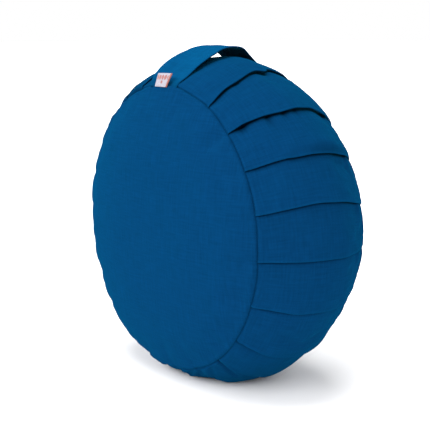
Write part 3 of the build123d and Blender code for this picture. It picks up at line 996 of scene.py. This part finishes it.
def strap():
    """The strap as a closed band of cloth along its route."""
    ends = 1 - np.cos(np.linspace(0, math.pi, 120))
    rows = STRAP_ROUTE[0][0] + (STRAP_ROUTE[-1][0] - STRAP_ROUTE[0][0]) * ends / 2
    height, slope = smooth_through(STRAP_ROUTE, rows)
    y = rows * MM
    middle = np.stack([STRAP_X - y * math.tan(STRAP_SKEW), y, AXIS_Z + height * MM], -1)
    outward = np.stack([0 * y, -slope, 1 + 0 * y], -1)
    outward /= np.linalg.norm(outward, axis=-1, keepdims=True)
    section = strap_section()
    x, z = section[None, :, 0], section[None, :, 1]
    t = rows[:, None] / STRAP_ROUTE[-1][0]  # -1 at the front end, 1 at the rear end
    # a slight cup across, the far front corner held up by the seam, and soft unevenness
    drape = wave_field(31, 6, 26 * MM, 80 * MM)
    edge = (x / (STRAP_W / 2)) ** 2
    lift = 0.35 * MM * drape(x, y[:, None]) - 0.7 * MM * edge * (1 - t**2)
    lift = lift + FAR_LIFT * ease((-x - 4 * MM) / (18 * MM)) * bump(t + 0.62, 0.36)
    lift = lift + 0.7 * MM * bump(t - 0.30, 0.07) * (x / (STRAP_W / 2)) - 0.4 * MM * bump(t + 0.28, 0.05)
    x = x * (1 - 0.04 * bump(np.abs(t) - 1, 0.12))
    grid = middle[:, None, :] + outward[:, None, :] * (z + lift)[..., None]
    grid[..., 0] += x * math.cos(STRAP_SKEW)
    grid[..., 1] += x * math.sin(STRAP_SKEW) * ease((1 - np.abs(t)) / 0.15)
    nu, nv = grid.shape[:2]
    quads, _ = grid_faces(nu, nv, False, True)
    faces = quads + [list(range(nv))[::-1], [(nu - 1) * nv + k for k in range(nv)]]
    around = np.cumsum(np.linalg.norm(np.diff(section, axis=0, prepend=section[-1:]), axis=1))
    length = np.concatenate([[0], np.cumsum(np.linalg.norm(np.diff(middle, axis=0), axis=1))])
    uv = np.stack(np.meshgrid(length, around, indexing="ij"), -1).reshape(-1, 2)
    corners = uv[np.concatenate([np.array(f) for f in faces])]
    piece = mesh_object("carry_strap", grid.reshape(-1, 3), faces, corners)
    # painted shade: the strap's underside dark, and each end darker where it turns away from the top light
    foot = 1 - FOOT_SHADE * bump(np.abs(t) - 1, 0.08)
    store(piece, "shade", np.where(section[None, :, 1] < 0, UNDERSIDE_PAINTED_SHADE, 1.0) * foot)
    return piece


# ---- label
def label():
    """The folded label, standing in the front seam and leaning back a little, with its middle bowed."""
    low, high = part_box("woven_label")
    width = high[0] - low[0]
    foot = AXIS_Z + SEAM_R - 2.6 * MM
    height = high[2] - foot - 0.6 * MM
    nu, nv = 26, 20
    a = np.linspace(-0.5, 0.5, nu)[:, None]
    b = np.linspace(0, 1, nv)[None, :]
    x = low[0] + width / 2 + 2.2 * MM + a * width * (0.94 + 0.12 * b) + 2.3 * MM * b
    bow = 0.9 * MM * (1 - (2 * a) ** 2) * b + 0.4 * MM * np.sin(3 * a + 2 * b)
    y = -HALF - 2.6 * MM + 4.5 * MM * b**1.2 - bow
    z = foot + height * b + 0.3 * MM * np.sin(2.5 * a + 1) * b
    fold = np.sqrt(np.clip(1 - ((b - 0.9) / 0.1).clip(0, 1) ** 2, 0.02, 1))
    front = np.stack([x, y - 0.5 * LABEL_THICK * fold + 0 * a, z], -1)
    back = np.stack([x, y + 0.5 * LABEL_THICK * fold + 0 * a, z], -1)
    grid = np.concatenate([front, back[:, ::-1]], 1)
    quads, _ = grid_faces(nu, 2 * nv, False, True)
    faces = quads + [list(range(2 * nv)), [(nu - 1) * 2 * nv + k for k in range(2 * nv)][::-1]]
    flat = np.stack(np.broadcast_arrays(a + 0.5, b), -1)
    flat = np.concatenate([flat, flat[:, ::-1]], 1).reshape(-1, 2)
    faces = [f[::-1] for f in faces]
    uv = flat[np.concatenate([np.array(f) for f in faces])]
    return mesh_object("woven_label_tag", grid.reshape(-1, 3), faces, uv)


# ---- materials
class Nodes:
    """A material with short calls for its nodes, most of which return the node's output."""

    def __init__(self, name):
        self.material = bpy.data.materials.new(name)
        self.material.use_nodes = True
        self.tree = self.material.node_tree
        self.shader = self.tree.nodes["Principled BSDF"]

    def feed(self, socket, value):
        """Links another node's output to a socket, or sets a plain value."""
        if isinstance(value, bpy.types.NodeSocket):
            self.tree.links.new(value, socket)
        else:
            socket.default_value = value

    def add(self, kind, inputs=None, **settings):
        node = self.tree.nodes.new(kind)
        for key, value in settings.items():
            setattr(node, key, value)
        for key, value in (inputs or {}).items():
            self.feed(node.inputs[key], value)
        return node

    def math(self, operation, a, b=0.0):
        node = self.add("ShaderNodeMath", operation=operation)
        for socket, value in zip(node.inputs, (a, b)):
            self.feed(socket, value)
        return node.outputs[0]

    def mix(self, share, a, b):
        node = self.add("ShaderNodeMix", data_type="RGBA")
        for number, value in ((0, share), (6, a), (7, b)):
            self.feed(node.inputs[number], value)
        return node.outputs[2]

    def noise(self, vector, scale, detail):
        inputs = {"Vector": vector, "Scale": scale, "Detail": detail}
        return self.add("ShaderNodeTexNoise", inputs).outputs["Fac"]

    def stretched_noise(self, vector, along_u, along_v, detail=3.0):
        """Noise drawn out along one direction, from its scales along U and V."""
        mapped = self.add("ShaderNodeMapping", {"Vector": vector, "Scale": (along_u, along_v, 1.0)})
        return self.noise(mapped.outputs[0], 1.0, detail)

    def range(self, value, low, high, to_low=0.0, to_high=1.0):
        inputs = {"Value": value, "From Min": low, "From Max": high, "To Min": to_low, "To Max": to_high}
        return self.add("ShaderNodeMapRange", inputs).outputs[0]

    def attribute(self, name):
        return self.add("ShaderNodeAttribute", attribute_name=name, attribute_type="GEOMETRY").outputs["Fac"]

    def bump(self, height, strength, distance):
        """Fine relief on the surface."""
        node = self.add("ShaderNodeBump", {"Height": height, "Strength": strength, "Distance": distance})
        self.set("Normal", node.outputs[0])

    def set(self, name, value):
        self.feed(self.shader.inputs[name], value)


def tint(color, factor):
    return (color[0] * factor, color[1] * factor, color[2] * factor, 1.0)


def woven(name, color, with_wear_and_highlight=False):
    """Matt woven cotton: threads both ways, slubs, soft mottling and a slight bloom at grazing angles."""
    m = Nodes(name)
    uv = m.add("ShaderNodeUVMap", uv_map="cloth").outputs[0]
    split = m.add("ShaderNodeSeparateXYZ", {0: uv})
    warp = m.math("SINE", m.math("MULTIPLY", split.outputs[0], math.tau / THREAD))
    weft = m.math("SINE", m.math("MULTIPLY", split.outputs[1], math.tau / THREAD))
    weave = m.math("MULTIPLY", warp, weft)
    slub = m.math("ADD", m.stretched_noise(uv, 620.0, 46.0), m.stretched_noise(uv, 50.0, 580.0))
    mottle = m.stretched_noise(uv, 28.0, 28.0, 4.0)
    base = m.mix(m.range(slub, 0.6, 1.4), tint(color, 0.80), tint(color, 1.22))
    base = m.mix(m.math("MULTIPLY", m.range(mottle, 0.3, 0.7), 0.16), base, tint(TEAL, 1.0))
    # wear and painted highlight: fold edges made lighter and more teal, partly worn cloth and partly the
    # light they catch
    if with_wear_and_highlight:
        base = m.mix(m.math("MULTIPLY", m.attribute("wear_and_highlight"), 0.35), base, tint(TEAL, 1.25))
    m.set("Base Color", m.mix(m.attribute("shade"), tint(color, 0.06), base))
    m.set("Roughness", m.range(slub, 0.6, 1.4, 0.82, 0.96))
    m.bump(m.math("ADD", m.math("MULTIPLY", weave, 0.35), m.math("MULTIPLY", slub, 1.1)), 0.35, 0.25 * MM)
    m.shader.inputs["Specular IOR Level"].default_value = 0.0
    m.shader.inputs["Sheen Weight"].default_value = 0.10
    m.shader.inputs["Sheen Roughness"].default_value = 0.45
    m.shader.inputs["Sheen Tint"].default_value = (0.0, 0.45, 0.75, 1.0)
    return m.material


def label_material():
    """White satin with a woven red edge and a plain red ornament: a row of small lozenges and a dot."""
    m = Nodes("label_satin")
    uv = m.add("ShaderNodeUVMap", uv_map="cloth").outputs[0]
    split = m.add("ShaderNodeSeparateXYZ", {0: uv})
    u, v = split.outputs[0], split.outputs[1]
    fine = m.stretched_noise(uv, 120.0, 18.0)
    edge = m.math("GREATER_THAN", u, 0.91)
    across = m.math("ABSOLUTE", m.math("SUBTRACT", m.math("FRACT", m.math("MULTIPLY", u, 5.0)), 0.5))
    up = m.math("ABSOLUTE", m.math("MULTIPLY", m.math("SUBTRACT", v, 0.70), 2.4))
    lozenge = m.math("LESS_THAN", m.math("ADD", across, m.math("MULTIPLY", up, 0.55)), 0.46)
    lozenge = m.math("MULTIPLY", lozenge, m.math("LESS_THAN", up, 0.42))
    inside = m.math("MULTIPLY", m.math("GREATER_THAN", u, 0.05), m.math("LESS_THAN", u, 0.88))
    lozenge = m.math("MULTIPLY", lozenge, inside)
    du = m.math("MULTIPLY", m.math("SUBTRACT", u, 0.5), 1.5)
    dv = m.math("SUBTRACT", v, 0.36)
    dot = m.math("LESS_THAN", m.math("ADD", m.math("MULTIPLY", du, du), m.math("MULTIPLY", dv, dv)), 0.014)
    red = m.math("MAXIMUM", m.math("MAXIMUM", lozenge, dot), edge)
    red = m.math("MULTIPLY", red, m.math("ADD", 0.62, m.math("MULTIPLY", fine, 0.5)))
    m.set("Base Color", m.mix(red, m.mix(fine, *LABEL_WHITES), LABEL_RED))
    m.bump(m.math("ADD", m.math("SINE", m.math("MULTIPLY", v, 260.0)), fine), 0.3, 0.1 * MM)
    m.set("Roughness", 0.55)
    m.shader.inputs["Sheen Weight"].default_value = 0.2
    return m.material


def plain_fabric(name, color, scale):
    """Woven cloth with no UV map, for the zip's tape, the bag and the hulls."""
    m = Nodes(name)
    at = m.add("ShaderNodeTexCoord").outputs["Object"]
    fine, broad = m.noise(at, scale, 3.0), m.noise(at, scale / 30, 2.0)
    share = m.math("MULTIPLY", m.math("ADD", fine, broad), 0.5)
    m.set("Base Color", m.mix(share, tint(color, 0.75), tint(color, 1.3)))
    m.bump(fine, 0.4, 0.2 * MM)
    m.set("Roughness", 0.9)
    m.shader.inputs["Specular IOR Level"].default_value = 0.05
    return m.material


def enamel(name, color, rough):
    """Painted metal or nylon with faint unevenness."""
    m = Nodes(name)
    fine = m.noise(m.add("ShaderNodeTexCoord").outputs["Object"], 900.0, 2.0)
    m.set("Base Color", m.mix(fine, tint(color, 0.85), tint(color, 1.2)))
    m.set("Roughness", m.range(fine, 0.0, 1.0, rough * 0.8, rough * 1.2))
    m.bump(fine, 0.15, 0.05 * MM)
    m.shader.inputs["Coat Weight"].default_value = 0.08
    return m.material


def paint(piece, material):
    piece.data.materials.clear()
    piece.data.materials.append(material)


# ---- camera, light and floor
def camera():
    """The photograph's camera."""
    data = bpy.data.cameras.new("camera")
    data.lens, data.sensor_width = CAMERA_LENS, CAMERA_SENSOR
    data.shift_x, data.shift_y = CAMERA_SHIFT
    eye = bpy.data.objects.new("camera", data)
    side, level = math.sin(CAMERA_AZIMUTH), math.cos(CAMERA_ELEVATION)
    back = Vector((side * level, -math.cos(CAMERA_AZIMUTH) * level, math.sin(CAMERA_ELEVATION)))
    eye.location = Vector((0, 0, AXIS_Z)) + back * CAMERA_DISTANCE
    eye.rotation_euler = back.to_track_quat("Z", "Y").to_euler()
    bpy.context.scene.collection.objects.link(eye)
    bpy.context.scene.camera = eye


def dome():
    """Even light from all round, which the camera sees as plain white."""
    world = bpy.data.worlds.new("studio")
    world.use_nodes = True
    nodes, links = world.node_tree.nodes, world.node_tree.links
    light, wall = nodes["Background"], nodes.new("ShaderNodeBackground")
    for background, strength in ((light, AMBIENT), (wall, 1.0)):
        background.inputs[0].default_value = (1, 1, 1, 1)
        background.inputs[1].default_value = strength
    mix = nodes.new("ShaderNodeMixShader")
    links.new(nodes.new("ShaderNodeLightPath").outputs["Is Camera Ray"], mix.inputs[0])
    links.new(light.outputs[0], mix.inputs[1])
    links.new(wall.outputs[0], mix.inputs[2])
    links.new(mix.outputs[0], nodes["World Output"].inputs["Surface"])
    bpy.context.scene.world = world
    bpy.context.scene.view_settings.view_transform = "Standard"


def lamps():
    for name, at, strength, width in LAMPS:
        data = bpy.data.lights.new(name, "SUN")
        data.energy = strength
        data.angle = math.radians(width)
        lamp = bpy.data.objects.new(name, data)
        lamp.location = at
        lamp.rotation_euler = Vector(at).to_track_quat("Z", "Y").to_euler()
        bpy.context.scene.collection.objects.link(lamp)


def floor():
    """A plain pale floor."""
    far = FLOOR_REACH
    corners = [(-far, -far, 0), (far, -far, 0), (far, far, 0), (-far, far, 0)]
    piece = mesh_object("floor", corners, [(0, 1, 2, 3)], closed=False)
    m = Nodes("floor")
    fine = m.noise(m.add("ShaderNodeTexCoord").outputs["Object"], 3.0, 2.0)
    m.set("Base Color", m.mix(fine, *FLOOR_WHITES))
    m.set("Roughness", 0.9)
    m.shader.inputs["Specular IOR Level"].default_value = 0.0
    paint(piece, m.material)


# ---- assembly
camera()
dome()
lamps()
floor()

cover = woven("cover_cotton", BLUE, with_wear_and_highlight=True)
face_cloth = woven("face_cotton", BLUE)
# the strap's cloth is lighter than the cover's, as painted light on top of the cushion
strap_cloth_painted_light = woven("strap_cotton_painted_light", STRAP_BLUE_PAINTED_LIGHT)

for piece, material, node in (
    (pleated_band(), cover, "side_band"),
    (face_panel("front_face", -1), face_cloth, "front_panel"),
    (face_panel("back_face", 1), face_cloth, "back_panel"),
):
    paint(piece, material)
    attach(piece, "cushion")
    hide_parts(node)

handle = strap()
paint(handle, strap_cloth_painted_light)
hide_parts("handle_front_end", "handle_grip", "handle_rear_end")
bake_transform(handle)

tag = label()
paint(tag, label_material())
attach(tag, "cushion")
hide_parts("woven_label")

tape = plain_fabric("tape_weave", TAPE_BLUE, 2600.0)
nylon = enamel("coil_nylon", NYLON_BLUE, 0.5)
metal = enamel("slider_enamel", METAL_BLUE, 0.35)
cotton = plain_fabric("bag_cotton", BAG_BLUE, 2200.0)
husk = plain_fabric("hulls", HUSK, 300.0)
for piece, material, node, slot in (
    (bag_end("bag_front", -1), cotton, "inner_bag_front", "bag_cloth"),
    (bag_end("bag_back", 1), cotton, "inner_bag_back", "bag_cloth"),
    (bag_band("bag_band"), cotton, "inner_bag_band", "bag_cloth"),
    (filling(), husk, "hull_filling", "hulls"),
    (coil("coil_teeth_face", -1), nylon, "zip_coil_face", "zip_coil"),
    (coil("coil_teeth_band", 1), nylon, "zip_coil_band", "zip_coil"),
):
    paint(piece, material)
    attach(piece, "cushion")
    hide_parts(node)
for node, material in (
    ("zip_tape_face", tape), ("zip_tape_band", tape), ("zip_top_stops", nylon), ("zip_bottom_stop", nylon),
    ("zip_slider", metal), ("zip_pull", metal),
):
    paint(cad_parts[node], material)
